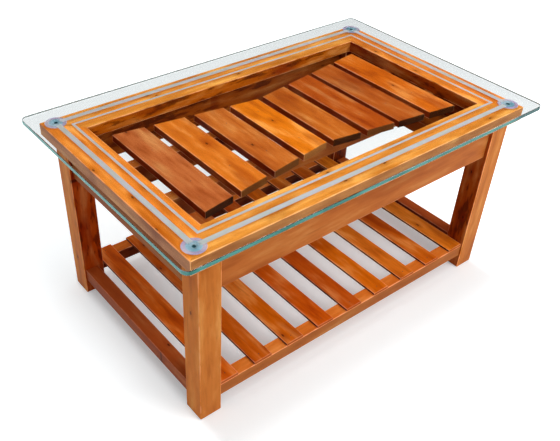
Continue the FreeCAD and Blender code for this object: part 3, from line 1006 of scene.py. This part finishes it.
def etched_material():
    material, tree, shader, output = start_material("etched_line")
    place = add_node(tree, "ShaderNodeTexCoord").outputs["Object"]
    grit = add_node(tree, "ShaderNodeTexNoise", {"Vector": place, "Scale": 60.0, "Detail": 4.0})
    drift = add_node(tree, "ShaderNodeTexNoise", {"Vector": place, "Scale": 16.0, "Detail": 2.0})
    clouds = ramp(tree, drift.outputs["Fac"], start=0.35, end=0.65)
    tint = blend_colours(tree, clouds, etched_greenish, etched_bluish)
    gritty = calculate(tree, "MULTIPLY", grit.outputs["Fac"], grit_share)
    connect(tree, blend_colours(tree, gritty, tint, etched_grit), shader.inputs["Base Color"])
    unsigned_place = calculate_vector(tree, "ABSOLUTE", place)
    from_pad = calculate_vector(tree, "DISTANCE", unsigned_place, middle_of("glass_pad_back_right"))
    clear_of_pad = ramp(tree, from_pad, bare_within, frosted_from)
    frost = ramp(tree, drift.outputs["Fac"], start=-1.4, end=0.55)
    connect(tree, calculate(tree, "MULTIPLY", frost, clear_of_pad), shader.inputs["Alpha"])
    shader.inputs["Roughness"].default_value = 0.7
    let_shadows_pass(tree, shader, output, etched_shadow)
    return material


for material in (clear_glass, ground_edge, etched_material()):
    glass_sheet.data.materials.append(material)
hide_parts("glass_top")
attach(glass_sheet, "root")
print("glass sheet,", len(glass_sheet.data.materials), "materials")

# %% [markdown]
# ## The clear pads
# Four soft vinyl suckers keep the loose sheet from sliding. Each has a stem in a hole in the
# wood, a hub that the sheet's weight rests on, and a thin disc that clings to the glass. The
# whole pad is a turned shape, so one circle is extruded and scaled from ring to ring up the
# outside and down into the hole in its middle. The photograph shows the pad as a pale rim, a
# bluish hub and a dark hole, so its faces are sorted into these three by how far out they lie.

# %% Model a pad
# Each ring has a radius, and a height over the top of the wood.
pad_rings = (
    ("foot of the stem", 0.0026, -0.0070),
    ("rounded foot", 0.0030, -0.0064),
    ("top of the stem", 0.0030, 0.0000),
    ("hub on the wood", 0.0088, 0.0000),
    ("side of the hub", 0.0095, 0.0006),
    ("shoulder", 0.0095, 0.0020),
    ("neck", 0.0080, 0.0026),
    ("underside of the disc", 0.0140, 0.0037),
    ("thin part of the disc", 0.0205, 0.0042),
    ("rim", 0.0229, 0.0043),
    ("edge of the rim", 0.0230, 0.0046),
    ("top of the rim", 0.0227, 0.0049),
    ("flat against the glass", 0.0150, 0.0049),
    ("shallow dish", 0.0105, 0.0047),
    ("lip of the hollow", 0.0065, 0.0045),
    ("ledge in the hollow", 0.0042, 0.0040),
    ("wall of the hole", 0.0028, 0.0032),
    ("bottom of the hole", 0.0024, -0.0020),
)
pad_sides = 48
rim_starts = 0.0135
hole_ends = 0.0040
rim_slot = 0
hub_slot = 1
hole_slot = 2


def vinyl_slot(from_middle):
    if from_middle > rim_starts:
        return rim_slot
    if from_middle < hole_ends:
        return hole_slot
    return hub_slot


def turn_pad(name, middle, wood_top):
    bpy.ops.object.select_all(action="DESELECT")
    _, radius, height = pad_rings[0]
    foot_middle = (middle.x, middle.y, wood_top + height)
    bpy.ops.mesh.primitive_circle_add(
        vertices=pad_sides, radius=radius, fill_type="NGON", location=foot_middle
    )
    bpy.ops.object.transform_apply(location=True, rotation=True, scale=True)
    pad = bpy.context.object
    pad.name = name
    bpy.ops.object.mode_set(mode="EDIT")
    bpy.ops.mesh.select_all(action="SELECT")
    for _, next_radius, next_height in pad_rings[1:]:
        bpy.ops.mesh.extrude_region_move(TRANSFORM_OT_translate={"value": (0, 0, next_height - height)})
        grow = next_radius / radius
        ring_middle = (middle.x, middle.y, wood_top + next_height)
        bpy.ops.transform.resize(value=(grow, grow, 1), center_override=ring_middle)
        radius, height = next_radius, next_height
    bpy.ops.mesh.select_all(action="SELECT")
    bpy.ops.mesh.normals_make_consistent(inside=False)
    bpy.ops.object.mode_set(mode="OBJECT")
    for face in pad.data.polygons:
        face.material_index = vinyl_slot((face.center - middle).to_2d().length)
    bpy.ops.object.shade_smooth_by_angle(angle=math.radians(35))
    return pad


wood_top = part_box("top_rail_front")[1].z
first_pad = turn_pad("clear_pad_front_left", middle_of("glass_pad_front_left"), wood_top)
print("pad,", len(first_pad.data.polygons), "faces")

# %% [markdown]
# The vinyl is one clear soft plastic, but it lies over wood, over its own hub and over a dark
# hole, and it looks milky, bluish and nearly black there. Three tints of one material say that
# more plainly than glass that bends every ray: the nearly black one is painted shade in the
# hole, and the bluish one holds a painted highlight on the hub. The finished pad is then copied
# to the other three corners, each copy with a mesh of its own, because a piece's place is in
# its mesh.

# %% Clear vinyl, and the other pads
vinyl_looks = (
    # The hub's pale cyan is partly a painted highlight, and the hole's near-black is painted shade.
    ("clear_vinyl_rim", (0.56, 0.52, 0.74, 1.0), (0.70, 0.70, 0.82, 1.0), 0.55),
    ("clear_vinyl_hub", (0.20, 0.44, 0.55, 1.0), (0.45, 0.66, 0.78, 1.0), 0.3),
    ("clear_vinyl_hole", (0.03, 0.12, 0.15, 1.0), (0.04, 0.14, 0.17, 1.0), 0.2),
)
vinyl_shadow = (0.85, 0.85, 0.92, 1.0)
other_corners = ("front_right", "back_left", "back_right")


def vinyl_material(name, first, second, transmission):
    """Soft clear plastic with a drift of colour in it, since it is never quite even."""
    material, tree, shader, output = start_material(name)
    place = add_node(tree, "ShaderNodeTexCoord").outputs["Object"]
    inputs = {"Vector": place, "Scale": 30.0, "Detail": 1.0}
    haze = add_node(tree, "ShaderNodeTexNoise", inputs).outputs["Fac"]
    tint = blend_colours(tree, ramp(tree, haze, start=0.35, end=0.65), first, second)
    connect(tree, tint, shader.inputs["Base Color"])
    connect(tree, calculate(tree, "MULTIPLY", haze, 0.2), shader.inputs["Roughness"])
    shader.inputs["IOR"].default_value = 1.45
    shader.inputs["Transmission Weight"].default_value = transmission
    let_shadows_pass(tree, shader, output, vinyl_shadow)
    return material


def copy_pad(pad, name, shift):
    """Copy with a mesh of its own, and with its new place in that mesh."""
    copy = pad.copy()
    copy.name = name
    copy.data = pad.data.copy()
    copy.data.transform(Matrix.Translation(shift))
    bpy.context.collection.objects.link(copy)
    return copy


for look in vinyl_looks:
    first_pad.data.materials.append(vinyl_material(*look))
pads = {"front_left": first_pad}
for corner in other_corners:
    shift = middle_of(f"glass_pad_{corner}") - middle_of("glass_pad_front_left")
    pads[corner] = copy_pad(first_pad, f"clear_pad_{corner}", shift)
for corner, pad in pads.items():
    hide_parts(f"glass_pad_{corner}")
    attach(pad, "root")
print(len(pads), "pads")
